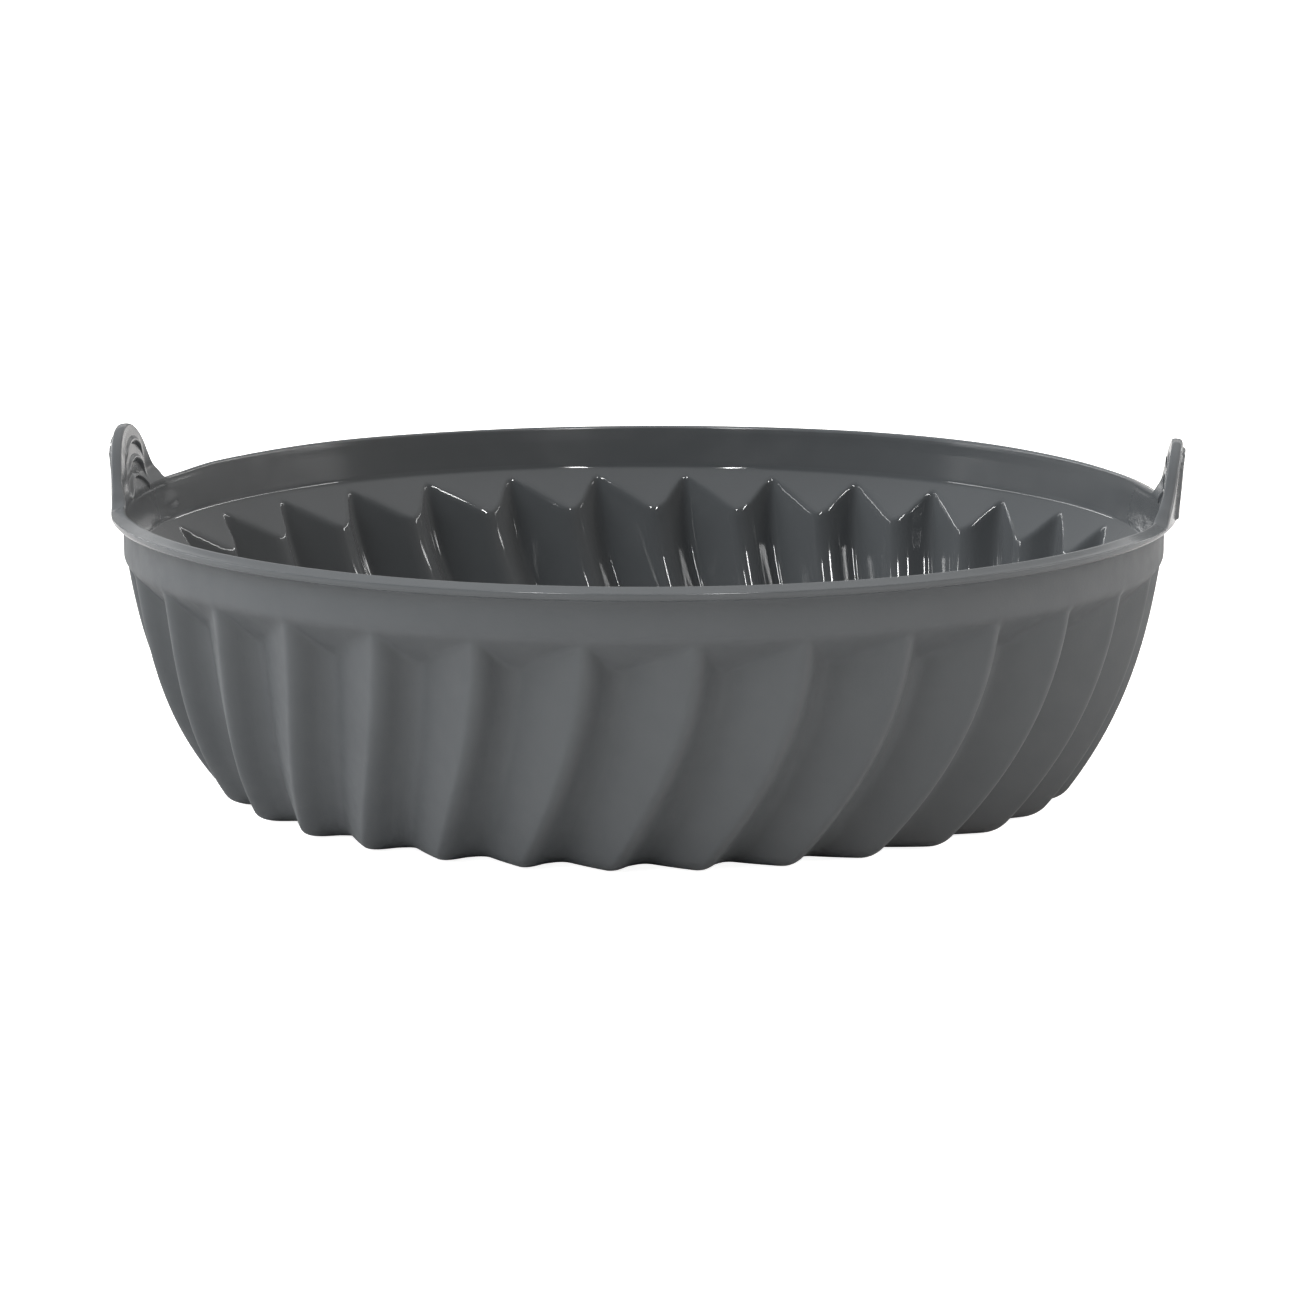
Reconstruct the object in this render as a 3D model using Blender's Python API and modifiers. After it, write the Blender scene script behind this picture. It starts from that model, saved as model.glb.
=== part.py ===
"""Round silicone mould for an air fryer: a swirl-fluted bowl with a smooth rim and two grip ears.

The real mould is one moulding of silicone. Its regions are modelled here as separate solids that
meet at a hair gap: base panel, corner ring, fluted wall, rim band, rim bead, and each ear's root,
tab and ribs.
+Z is up, the standing face is at Z = 0, and the origin is at the middle of that face.
Angles are taken about +Z from +X. Seen from the front, along +Y, the ears are at left and right.
"""

import math

import bmesh
import bpy
from mathutils import Matrix, Vector

MM = 0.001

# Gap between two regions that touch on the real moulding
GAP = 0.3 * MM

# Bowl
RIM_RADIUS = 100.0 * MM  # outside of the rim band
BODY_HEIGHT = 54.8 * MM  # standing face to the top of the rim bead
WALL = 2.0 * MM  # thickness of the silicone
BEAD_HEIGHT = 2.5 * MM
BEAD_OVERHANG = 2.3 * MM  # how far the bead stands out from the band
BEAD_ROUND = 0.9 * MM
BAND_HEIGHT = 7.0 * MM  # underside of the bead to the shoulder
BAND_ROUND = 0.5 * MM  # rounding where the band turns into the shoulder
BAND_FLARE = 1.4 * MM  # hollow curve from the band out to the bead
BAND_FLARE_HEIGHT = 2.2 * MM
SKIRT = 1.0 * MM  # straight strip above the shoulder that the fluted wall shares with the band
SHOULDER_SLOPE = 1.0  # how far the shoulder runs in for each unit that it drops

# Flutes: a sawtooth round the wall, with a crest, a short steep face and a long gentle face
FLUTE_COUNT = 32
FLUTE_START = math.radians(-95.7)  # a crest's angle at the shoulder
FLUTE_TWIST = math.radians(-9.4)  # turn of a crest from the shoulder to the base
FLUTE_DEPTH_TOP = 4.2 * MM
FLUTE_DEPTH_BASE = 4.8 * MM
VALLEY_SHARE = 0.24  # share of the pitch that the steep face takes
CREST_ROUNDING = 0.05  # half width of the rounded crest, as a share of the pitch
VALLEY_ROUNDING = 0.10
CREST_INSET = 0.6 * MM  # crest's top to the outside of the band
WALL_TAPER = 7.0 * MM  # straight part of the wall's lean, from the shoulder to the base
WALL_TUCK = 10.6 * MM  # further drawing in of the wall, which grows towards the base
WALL_TUCK_BEND = 2.6  # power of the drop that the tuck follows
CORNER_HEIGHT = 3.0 * MM  # rounded bottom corner
CORNER_RUN = 4.8 * MM
CORNER_RING_TOP = 6.0 * MM  # height of the fluted ring that the rounded corner is in
FLOOR_MARGIN = 0.4 * MM  # flat ring between the corner's deepest valley and the base panel

# Low ribs on the floor, which carry on the swirl of the flutes
FLOOR_RIB_COUNT = 16
FLOOR_RIB_WIDTH = 2.4 * MM
FLOOR_RIB_START = 18.0 * MM  # radius of the ribs' inner ends
FLOOR_RIB_MARGIN = 6.5 * MM  # ribs' outer ends to the edge of the base panel
FLOOR_RIB_SWIRL = math.radians(-55.0)
FLOOR_RIB_CURL = 1.5  # power of the way inwards that the swirl follows

# Ears: bell-shaped tongues that stand on the rim, measured above the top of the bead
EAR_HEIGHT = 13.3 * MM
EAR_TOP_RADIUS = 14.5 * MM
EAR_FLANK = math.radians(50.5)
EAR_FILLET = 14.0 * MM
EAR_TIP = 1.6 * MM  # half width of the flat at the very top
EAR_THICKNESS = 2.2 * MM
EAR_EDGE = 1.0 * MM  # thickness of the ear's rounded-off edge
EAR_EDGE_WIDTH = 0.7 * MM
HINGE_HEIGHT = 3.0 * MM  # height at which the tongue bends
HINGE_GAP = 0.8 * MM
RIGHT_EAR_ANGLE = math.radians(-5.9)
LEFT_EAR_ANGLE = RIGHT_EAR_ANGLE + math.pi
EAR_LEAN = math.radians(7.0)  # outwards, from the top of the bead

# Raised arches on both faces of each ear
EAR_RIB_HALF_SPAN = 8.0 * MM
INNER_RIB_WIDTH = 0.9 * MM
INNER_RIB_RADIUS = 12.0 * MM  # of each inner arch and the lowest outer one
INNER_RIB_SPACING = 3.5 * MM
OUTER_RIB_WIDTH = 0.5 * MM
OUTER_RIB_INSET = 1.5 * MM  # top outer arch to the ear's top
OUTER_RIB_SPACING = 3.6 * MM

# Fineness of the solids
RING_STEPS = 96
FLARE_ROWS = 2
WALL_ROWS = 7
CORNER_ROWS = 3
STEEP_COLUMNS = 2
BROAD_COLUMNS = 3
FLOOR_RIB_STEPS = 6
EAR_COLUMNS = 10
ROOT_ROWS = 3
TAB_ROWS = 6
EAR_RIB_STEPS = 8

# Sizes that follow from the ones above
BAND_INSIDE = RIM_RADIUS - WALL
BEAD_RADIUS = RIM_RADIUS + BEAD_OVERHANG
BEAD_BOTTOM = BODY_HEIGHT - BEAD_HEIGHT
SHOULDER_HEIGHT = BEAD_BOTTOM - BAND_HEIGHT
BAND_BOTTOM = SHOULDER_HEIGHT + SKIRT
BASE_CREST_RADIUS = RIM_RADIUS - CREST_INSET - WALL_TAPER - WALL_TUCK
FLOOR_RADIUS = BASE_CREST_RADIUS - FLUTE_DEPTH_BASE - CORNER_RUN - FLOOR_MARGIN
PITCH = 2 * math.pi / FLUTE_COUNT
EAR_MIDDLE_RADIUS = BEAD_RADIUS - EAR_THICKNESS / 2


def clear_scene():
    for obj in list(bpy.data.objects):
        bpy.data.objects.remove(obj)


def make_collection(name):
    collection = bpy.data.collections.new(name)
    bpy.context.scene.collection.children.link(collection)
    return collection


def silicone(name, colour, roughness):
    material = bpy.data.materials.new(name)
    material.use_nodes = True
    shader = material.node_tree.nodes["Principled BSDF"]
    shader.inputs["Base Color"].default_value = (*colour, 1.0)
    shader.inputs["Roughness"].default_value = roughness
    shader.inputs["Metallic"].default_value = 0.0
    return material


def add_object(name, mesh, material, collection, parent=None):
    obj = bpy.data.objects.new(name, mesh)
    mesh.materials.clear()
    mesh.materials.append(material)
    mesh.shade_smooth()
    mesh.set_sharp_from_angle(angle=math.radians(35))
    collection.objects.link(obj)
    obj.parent = parent
    return obj


def surface_mesh(name, rows, wrap):
    """An open surface through rows of points. With wrap, each row's end joins its start."""
    build = bmesh.new()
    grid = [[build.verts.new(point) for point in row] for row in rows]
    columns = len(rows[0])
    for upper, lower in zip(grid, grid[1:]):
        for i in range(columns if wrap else columns - 1):
            j = (i + 1) % columns
            build.faces.new((upper[i], lower[i], lower[j], upper[j]))
    mesh = bpy.data.meshes.new(name)
    build.to_mesh(mesh)
    build.free()
    return mesh


def turned_ring(name, profile, material, collection):
    """A full ring from a closed profile of (radius, height) points."""
    mesh = bpy.data.meshes.new(name)
    points = [(radius, 0.0, height) for radius, height in profile]
    edges = [(i, (i + 1) % len(points)) for i in range(len(points))]
    mesh.from_pydata(points, edges, [])
    obj = add_object(name, mesh, material, collection)
    screw = obj.modifiers.new("Turn", "SCREW")
    screw.steps = RING_STEPS
    screw.render_steps = RING_STEPS
    screw.use_merge_vertices = True
    screw.merge_threshold = 0.00001
    screw.use_smooth_shade = True
    return obj


# Fluted wall


def rounded_corner(offset, left_slope, right_slope, half_width):
    """Height of a rounded corner at this offset from it, relative to the sharp corner."""
    if offset < -half_width:
        return left_slope * offset
    if offset > half_width:
        return right_slope * offset
    bend = right_slope - left_slope
    return left_slope * offset + bend * (offset + half_width) ** 2 / (4 * half_width)


def flute_section(share):
    """Depth below the crest line, from 0 to 1, at this share of the pitch past a crest."""
    fall = 1 / VALLEY_SHARE
    rise = -1 / (1 - VALLEY_SHARE)
    past_crest = share if share < (1 + VALLEY_SHARE) / 2 else share - 1
    crest_top = rounded_corner(0, rise, fall, CREST_ROUNDING)
    valley_floor = 1 + rounded_corner(0, fall, rise, VALLEY_ROUNDING)
    if abs(past_crest) < VALLEY_SHARE / 2:
        depth = rounded_corner(past_crest, rise, fall, CREST_ROUNDING)
    elif 0 < past_crest:
        depth = 1 + rounded_corner(past_crest - VALLEY_SHARE, fall, rise, VALLEY_ROUNDING)
    else:
        depth = rise * past_crest
    return (depth - crest_top) / (valley_floor - crest_top)


def drop_below_shoulder(height):
    """0 at the shoulder and 1 at the base."""
    return min(1.0, max(0.0, 1 - height / SHOULDER_HEIGHT))


def flute_radius(height, share):
    drop = drop_below_shoulder(height)
    crest = RIM_RADIUS - CREST_INSET - WALL_TAPER * drop - WALL_TUCK * drop**WALL_TUCK_BEND
    depth = FLUTE_DEPTH_TOP + (FLUTE_DEPTH_BASE - FLUTE_DEPTH_TOP) * drop
    return crest - depth * flute_section(share)


def shoulder_radius(height):
    return RIM_RADIUS - SHOULDER_SLOPE * (SHOULDER_HEIGHT - height)


def shoulder_end(share):
    """Height at which the shoulder runs into the flute."""
    low = 0.0
    high = SHOULDER_HEIGHT
    for _ in range(40):
        middle = (low + high) / 2
        if shoulder_radius(middle) > flute_radius(middle, share):
            high = middle
        else:
            low = middle
    return high


def wall_profile(share):
    """(radius, height) points down the outside of the wall and in along its underside."""
    turn = min(BAND_ROUND, CREST_INSET / 2)
    end = shoulder_end(share)
    points = [
        (RIM_RADIUS, BAND_BOTTOM - GAP),
        (RIM_RADIUS, SHOULDER_HEIGHT + turn),
        (shoulder_radius(SHOULDER_HEIGHT - turn / 2), SHOULDER_HEIGHT - turn / 2),
        (shoulder_radius(end), end),
    ]
    for row in range(1, WALL_ROWS + 1):
        height = end + (CORNER_HEIGHT - end) * row / WALL_ROWS
        points.append((flute_radius(height, share), height))
    start = Vector(points[-1])
    corner = Vector((flute_radius(0, share), 0))
    finish = corner - Vector((CORNER_RUN, 0))
    for row in range(1, CORNER_ROWS + 1):
        t = row / CORNER_ROWS
        points.append(tuple(start * (1 - t) ** 2 + corner * 2 * t * (1 - t) + finish * t**2))
    points.append((FLOOR_RADIUS, 0.0))
    return points


def slab(name, low, high, collection):
    """A helper disc wider than the bowl, from one height to another."""
    radius = 2 * BEAD_RADIUS
    build = bmesh.new()
    bmesh.ops.create_cone(
        build,
        cap_ends=True,
        segments=RING_STEPS,
        radius1=radius,
        radius2=radius,
        depth=high - low,
        matrix=Matrix.Translation((0, 0, (low + high) / 2)),
    )
    mesh = bpy.data.meshes.new(name)
    build.to_mesh(mesh)
    build.free()
    helper = bpy.data.objects.new(name, mesh)
    collection.objects.link(helper)
    helper.hide_render = True
    helper.display_type = "WIRE"
    return helper


def fluted_ring(name, low, high, material, collection, helpers):
    """The part of the fluted shell between two heights."""
    steep = [VALLEY_SHARE * i / STEEP_COLUMNS for i in range(STEEP_COLUMNS)]
    broad = [VALLEY_SHARE + (1 - VALLEY_SHARE) * i / BROAD_COLUMNS for i in range(BROAD_COLUMNS)]
    shares = steep + broad
    profiles = [wall_profile(share) for share in shares]
    rows = []
    for row in range(len(profiles[0])):
        points = []
        for flute in range(FLUTE_COUNT):
            for share, profile in zip(shares, profiles):
                radius, height = profile[row]
                twist = FLUTE_TWIST * drop_below_shoulder(height) ** 2
                angle = FLUTE_START + (flute + share) * PITCH + twist
                points.append((radius * math.cos(angle), radius * math.sin(angle), height))
        rows.append(points)
    obj = add_object(name, surface_mesh(name, rows, True), material, collection)
    shell = obj.modifiers.new("Wall", "SOLIDIFY")
    shell.thickness = WALL
    shell.offset = -1.0
    shell.use_even_offset = True
    cut = obj.modifiers.new("Cut", "BOOLEAN")
    cut.operation = "INTERSECT"
    cut.object = slab(f"{name}_slab", low, high, helpers)
    return obj


# Base panel


def floor_rib_cutter(collection):
    """All the floor ribs as one helper mesh of half-sunk rods along the swirl."""
    outer = FLOOR_RADIUS - GAP - FLOOR_RIB_MARGIN
    build = bmesh.new()
    for rib in range(FLOOR_RIB_COUNT):
        curve = bpy.data.curves.new("floor_rib", "CURVE")
        curve.dimensions = "3D"
        curve.bevel_depth = FLOOR_RIB_WIDTH / 2
        curve.bevel_resolution = 1
        curve.use_fill_caps = True
        spline = curve.splines.new("POLY")
        spline.points.add(FLOOR_RIB_STEPS)
        for i, point in enumerate(spline.points):
            inwards = i / FLOOR_RIB_STEPS
            radius = outer + (FLOOR_RIB_START - outer) * inwards
            start = FLUTE_START + FLUTE_TWIST + rib * 2 * math.pi / FLOOR_RIB_COUNT
            angle = start + FLOOR_RIB_SWIRL * inwards**FLOOR_RIB_CURL
            point.co = (radius * math.cos(angle), radius * math.sin(angle), WALL, 1.0)
        rod = bpy.data.objects.new("floor_rib", curve)
        bpy.context.scene.collection.objects.link(rod)
        graph = bpy.context.evaluated_depsgraph_get()
        mesh = bpy.data.meshes.new_from_object(rod.evaluated_get(graph))
        build.from_mesh(mesh)
        bpy.data.objects.remove(rod)
    bmesh.ops.remove_doubles(build, verts=build.verts[:], dist=0.00001)
    bmesh.ops.recalc_face_normals(build, faces=build.faces[:])
    joined = bpy.data.meshes.new("floor_ribs")
    build.to_mesh(joined)
    build.free()
    cutter = bpy.data.objects.new("floor_ribs", joined)
    collection.objects.link(cutter)
    cutter.hide_render = True
    cutter.display_type = "WIRE"
    return cutter


def base_panel(material, collection, helpers):
    bpy.ops.mesh.primitive_cylinder_add(
        vertices=RING_STEPS, radius=FLOOR_RADIUS - GAP, depth=WALL, location=(0, 0, WALL / 2)
    )
    obj = bpy.context.object
    obj.name = "base_panel"
    for holder in list(obj.users_collection):
        holder.objects.unlink(obj)
    collection.objects.link(obj)
    obj.data.materials.append(material)
    ribs = obj.modifiers.new("Ribs", "BOOLEAN")
    ribs.operation = "UNION"
    ribs.object = floor_rib_cutter(helpers)
    return obj


# Rim


def rim_band(material, collection):
    top = BEAD_BOTTOM - GAP
    profile = []
    for row in range(FLARE_ROWS + 1):
        t = row / FLARE_ROWS
        profile.append((RIM_RADIUS + BAND_FLARE * (1 - t) ** 2, top - BAND_FLARE_HEIGHT * t))
    profile += [(RIM_RADIUS, BAND_BOTTOM), (BAND_INSIDE, BAND_BOTTOM), (BAND_INSIDE, top)]
    return turned_ring("rim_band", profile, material, collection)


def bead_profile():
    rounding = min(BEAD_ROUND, BEAD_HEIGHT * 0.45)
    cut = rounding * (1 - math.cos(math.pi / 4))
    return [
        (BEAD_RADIUS - rounding, BODY_HEIGHT),
        (BEAD_RADIUS - cut, BODY_HEIGHT - cut),
        (BEAD_RADIUS, BODY_HEIGHT - rounding),
        (BEAD_RADIUS, BEAD_BOTTOM + rounding),
        (BEAD_RADIUS - rounding, BEAD_BOTTOM),
        (BAND_INSIDE, BEAD_BOTTOM),
        (BAND_INSIDE, BODY_HEIGHT - rounding / 2),
        (BAND_INSIDE + rounding / 2, BODY_HEIGHT),
    ]


def rim_bead(material, collection):
    return turned_ring("rim_bead", bead_profile(), material, collection)


# Ears


def ear_half_width(height):
    """Half the width of an ear's outline at a height above the top of the bead."""
    sine = math.sin(EAR_FLANK)
    cosine = math.cos(EAR_FLANK)
    centre = EAR_HEIGHT - EAR_TOP_RADIUS
    flank_top = centre + EAR_TOP_RADIUS * sine
    flank_foot = EAR_FILLET * (1 - cosine)
    if height >= flank_top:
        return math.sqrt(max(0.0, EAR_TOP_RADIUS**2 - (height - centre) ** 2))
    top_width = EAR_TOP_RADIUS * cosine
    if height >= flank_foot:
        return top_width + (flank_top - height) * cosine / sine
    foot_width = top_width + (flank_top - flank_foot) * cosine / sine
    root_width = foot_width + EAR_FILLET * sine
    rise = max(0.0, height)
    return root_width - math.sqrt(EAR_FILLET**2 - (EAR_FILLET - rise) ** 2)


HINGE_HALF_WIDTH = ear_half_width(HINGE_HEIGHT)
HINGE_SAG = EAR_MIDDLE_RADIUS * (1 - math.cos(HINGE_HALF_WIDTH / EAR_MIDDLE_RADIUS))
FOOT_RADIUS = EAR_MIDDLE_RADIUS - HINGE_SAG / 2  # middle of the ear's curved foot, from above


def ear_frame(name, angle, collection):
    """An empty on the ear's bending axis: +X points out, +Y lies along the axis and +Z is up."""
    radius = FOOT_RADIUS + HINGE_HEIGHT * math.sin(EAR_LEAN)
    height = BODY_HEIGHT + HINGE_HEIGHT * math.cos(EAR_LEAN)
    empty = bpy.data.objects.new(name, None)
    collection.objects.link(empty)
    empty.location = (radius * math.cos(angle), radius * math.sin(angle), height)
    turn = Matrix.Rotation(angle, 4, "Z") @ Matrix.Rotation(EAR_LEAN, 4, "Y")
    empty.rotation_euler = turn.to_euler()
    return empty


def ear_point(along, radius, height):
    """A point of the ear in its frame, from the distance along the rim, radius and height."""
    angle = along / EAR_MIDDLE_RADIUS
    return Vector(
        (
            radius * math.cos(angle) - FOOT_RADIUS,
            radius * math.sin(angle),
            height - HINGE_HEIGHT,
        )
    )


def ear_plate(name, rows, parent, material, collection):
    """A plate that follows the rim's curve, from rows of (height, thickness)."""
    points = []
    shares = []
    for height, thickness in rows:
        half_width = max(EAR_TIP, ear_half_width(height))
        flat = half_width - EAR_EDGE_WIDTH
        inner = [flat * (2 * i / EAR_COLUMNS - 1) for i in range(EAR_COLUMNS + 1)]
        across = [-half_width, *inner, half_width]
        points.append([ear_point(along, EAR_MIDDLE_RADIUS, height) for along in across])
        share = thickness / EAR_THICKNESS
        edge_share = min(share, EAR_EDGE / EAR_THICKNESS)
        shares += [edge_share] + [share] * len(inner) + [edge_share]
    obj = add_object(name, surface_mesh(name, points, False), material, collection, parent)
    group = obj.vertex_groups.new(name="thickness")
    for index, share in enumerate(shares):
        group.add([index], share, "REPLACE")
    plate = obj.modifiers.new("Plate", "SOLIDIFY")
    plate.thickness = EAR_THICKNESS
    plate.offset = 0.0
    plate.vertex_group = "thickness"
    return obj


def ear_root(side, frame, material, collection):
    top = HINGE_HEIGHT - HINGE_GAP / 2
    full = top - EAR_EDGE_WIDTH
    foot = GAP + (EAR_THICKNESS + HINGE_SAG) / 2 * math.tan(EAR_LEAN)
    heights = [foot + (full - foot) * i / ROOT_ROWS for i in range(ROOT_ROWS + 1)]
    rows = [(height, EAR_THICKNESS) for height in heights]
    rows.append((top, EAR_EDGE))
    return ear_plate(f"{side}_ear_root", rows, frame, material, collection)


def ear_tab(side, frame, material, collection):
    bottom = HINGE_HEIGHT + HINGE_GAP / 2
    low = bottom + EAR_EDGE_WIDTH
    high = EAR_HEIGHT - EAR_EDGE_WIDTH
    rows = [(bottom, EAR_EDGE)]
    for i in range(TAB_ROWS + 1):
        share = math.sin(math.pi / 2 * i / TAB_ROWS)
        rows.append((low + (high - low) * share, EAR_THICKNESS))
    rows.append((EAR_HEIGHT, EAR_EDGE))
    return ear_plate(f"{side}_ear_tab", rows, frame, material, collection)


def ear_rib(name, face_radius, width, arch, frame, material, collection):
    """A raised arch: a rod that follows the ear's face, from foot height up to the apex."""
    centre, apex, foot = arch
    arch_radius = apex - centre
    lowest_end = max(foot + width / 2 + GAP, centre)
    span = math.sqrt(max(0.0, arch_radius**2 - (lowest_end - centre) ** 2))
    half_angle = math.asin(min(span, EAR_RIB_HALF_SPAN) / arch_radius)
    curve = bpy.data.curves.new(name, "CURVE")
    curve.dimensions = "3D"
    curve.bevel_depth = width / 2
    curve.bevel_resolution = 1
    curve.use_fill_caps = True
    spline = curve.splines.new("POLY")
    spline.points.add(EAR_RIB_STEPS)
    for i, point in enumerate(spline.points):
        angle = half_angle * (2 * i / EAR_RIB_STEPS - 1)
        along = arch_radius * math.sin(angle)
        height = centre + arch_radius * math.cos(angle)
        point.co = (*ear_point(along, face_radius, height), 1.0)
    curve.materials.append(material)
    obj = bpy.data.objects.new(name, curve)
    collection.objects.link(obj)
    obj.parent = frame
    return obj


def ear_ribs(side, root_frame, tab_frame, material, collection):
    """Three arches on each face: the two upper ones on the tab and the lowest on the root."""
    root_top = HINGE_HEIGHT - HINGE_GAP / 2
    tab_foot = HINGE_HEIGHT + HINGE_GAP / 2
    inner_apex = root_top - INNER_RIB_WIDTH / 2
    outer_apex = root_top - OUTER_RIB_WIDTH / 2
    tip_centre = EAR_HEIGHT - EAR_TOP_RADIUS
    tip_apex = EAR_HEIGHT - OUTER_RIB_INSET
    inner_arches = []
    for step, foot in ((2, tab_foot), (1, tab_foot), (0, 0.0)):
        apex = inner_apex + step * INNER_RIB_SPACING
        inner_arches.append((apex - INNER_RIB_RADIUS, apex, foot))
    outer_arches = [
        (tip_centre, tip_apex, tab_foot),
        (tip_centre, tip_apex - OUTER_RIB_SPACING, tab_foot),
        (outer_apex - INNER_RIB_RADIUS, outer_apex, 0.0),
    ]
    inside = BEAD_RADIUS - EAR_THICKNESS - GAP - INNER_RIB_WIDTH / 2
    outside = BEAD_RADIUS + GAP + OUTER_RIB_WIDTH / 2
    frames = [tab_frame, tab_frame, root_frame]
    for i, frame in enumerate(frames):
        name = f"{side}_inner_rib_{i + 1}"
        ear_rib(name, inside, INNER_RIB_WIDTH, inner_arches[i], frame, material, collection)
        name = f"{side}_outer_rib_{i + 1}"
        ear_rib(name, outside, OUTER_RIB_WIDTH, outer_arches[i], frame, material, collection)


def ear(side, angle, materials, collection):
    root_frame = ear_frame(f"{side}_ear_root_frame", angle, collection)
    tab_frame = ear_frame(f"{side}_ear_bend", angle, collection)
    ear_root(side, root_frame, materials["rim"], collection)
    ear_tab(side, tab_frame, materials["ear"], collection)
    ear_ribs(side, root_frame, tab_frame, materials["ear"], collection)


def main():
    clear_scene()
    parts = make_collection("air_fryer_mould")
    helpers = make_collection("cutters")
    materials = {
        "wall": silicone("silicone_wall", (0.105, 0.112, 0.118), 0.62),
        "floor": silicone("silicone_floor", (0.095, 0.100, 0.106), 0.45),
        "rim": silicone("silicone_rim", (0.105, 0.112, 0.118), 0.55),
        "ear": silicone("silicone_ear", (0.110, 0.117, 0.122), 0.50),
    }
    base_panel(materials["floor"], parts, helpers)
    ring_top = CORNER_RING_TOP - GAP
    fluted_ring("corner_ring", -WALL, ring_top, materials["wall"], parts, helpers)
    fluted_ring("fluted_wall", CORNER_RING_TOP, BODY_HEIGHT, materials["wall"], parts, helpers)
    rim_band(materials["rim"], parts)
    rim_bead(materials["rim"], parts)
    ear("right", RIGHT_EAR_ANGLE, materials, parts)
    ear("left", LEFT_EAR_ANGLE, materials, parts)


main()
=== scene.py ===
"""Looks of the silicone mould for an air fryer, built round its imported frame.

The visible bowl, band and ears are fine meshes on the formulas of the solids, and the lip has its
own finer section. The solids stay for collision and are hidden. Lengths are in metres and +Z is up.
Angles are taken about +Z from +X.
"""

import math

import bmesh
import bpy
import numpy as np
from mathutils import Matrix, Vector


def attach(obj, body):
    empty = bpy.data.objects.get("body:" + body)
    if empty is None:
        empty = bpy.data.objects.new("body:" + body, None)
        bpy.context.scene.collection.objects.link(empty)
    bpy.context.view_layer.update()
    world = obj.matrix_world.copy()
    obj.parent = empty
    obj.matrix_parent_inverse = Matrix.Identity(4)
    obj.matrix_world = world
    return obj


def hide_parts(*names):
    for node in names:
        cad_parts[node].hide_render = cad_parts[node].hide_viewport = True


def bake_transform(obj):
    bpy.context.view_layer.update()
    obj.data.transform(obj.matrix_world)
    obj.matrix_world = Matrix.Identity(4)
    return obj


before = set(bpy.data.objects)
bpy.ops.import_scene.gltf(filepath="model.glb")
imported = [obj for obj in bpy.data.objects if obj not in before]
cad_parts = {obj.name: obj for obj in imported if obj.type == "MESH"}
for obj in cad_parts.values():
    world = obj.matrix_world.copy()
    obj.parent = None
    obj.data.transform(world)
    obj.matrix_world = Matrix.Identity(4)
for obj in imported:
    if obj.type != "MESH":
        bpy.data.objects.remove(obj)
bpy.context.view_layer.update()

MM = 0.001

# Bowl
RIM_RADIUS = 100.0 * MM
BODY_HEIGHT = 54.8 * MM
BAND_INSIDE = 98.0 * MM  # at the seam
BAND_DRAFT = 0.2  # the band's inner face leans outwards by this much of its height
BEAD_RADIUS = 102.3 * MM
SHOULDER_HEIGHT = 45.3 * MM  # foot of the band outside
LEDGE_HEIGHT = 46.6 * MM  # foot of the band inside
BAND_SEAM = 47.4 * MM  # where the band's piece meets the wall's piece
FLOOR_TOP = 2.0 * MM
FLOOR_SEAM = 64.0 * MM  # radius where the floor's piece meets the wall's piece
BAND_OUTSIDE = [  # (radius, height) in millimetres, from the seam up to the foot of the lip
    (100.0, 47.4),
    (100.0, 48.8),
    (100.02, 50.1),
    (100.12, 51.2),
    (100.4, 52.1),
    (100.85, 52.75),
]

# Flutes
FLUTE_COUNT = 32
PITCH = 2 * math.pi / FLUTE_COUNT
FLUTE_START = math.radians(-95.7)
FLUTE_TWIST = math.radians(-9.4)
CREST_INSET = 0.6 * MM
WALL_TAPER = 7.0 * MM
WALL_TUCK = 10.6 * MM
WALL_TUCK_BEND = 2.6
CREST_CORNER_HEIGHT = 2.4 * MM  # rounded bottom corner at a crest
CREST_CORNER_RUN = 4.2 * MM
VALLEY_CORNER_HEIGHT = 2.9 * MM
VALLEY_CORNER_RUN = 4.9 * MM
INNER_CORNER_HEIGHT = 8.5 * MM
INNER_CORNER_RUN = 9.0 * MM

# Outside of a flute. Phase, steep side and roundings are shares of the pitch, from the crest.
OUTSIDE = {
    "phase": 0.0,
    "steep": 0.25,
    "crest_round": 0.075,
    "crest_round_base": 0.10,
    "valley_round": 0.13,
    "valley_round_base": 0.20,
    "inset": 0.0,
    "depth_top": 4.5 * MM,
    "depth_base": 4.3 * MM,
}
# Inside of a flute, the hollow behind the crest
INSIDE = {
    "phase": 0.05,
    "steep": 0.29,
    "crest_round": 0.05,
    "crest_round_base": 0.09,
    "valley_round": 0.16,
    "valley_round_base": 0.20,
    "inset": 3.1 * MM,
    "depth_top": 4.7 * MM,
    "depth_base": 4.6 * MM,
}
SHOULDER_EDGE = 0.9 * MM  # softness of the band's foot outside
CREASE_SOFTNESS = 0.7 * MM  # where the shoulder meets the flutes outside
LEDGE_EDGE = 0.2 * MM
HOLLOW_EDGE = 0.55 * MM  # where the inner shoulder rolls over into the hollows
VALLEY_WINDOW = 0.1  # window of the section that tells a valley from a crest
VALLEY_BLEND = (0.15, 0.85)  # depths between which the crest's rounding turns into the valley's
OUTSIDE_TOP = 46.6 * MM  # highest row of the flutes outside
INSIDE_TOP = 47.0 * MM  # highest row of the flutes inside
DENSE_HEIGHT = 38.5 * MM  # the rows lie closer together above this height
TOE_MARGIN = 0.3 * MM  # least width of the flat between the floor's seam and the inner corner

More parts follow.
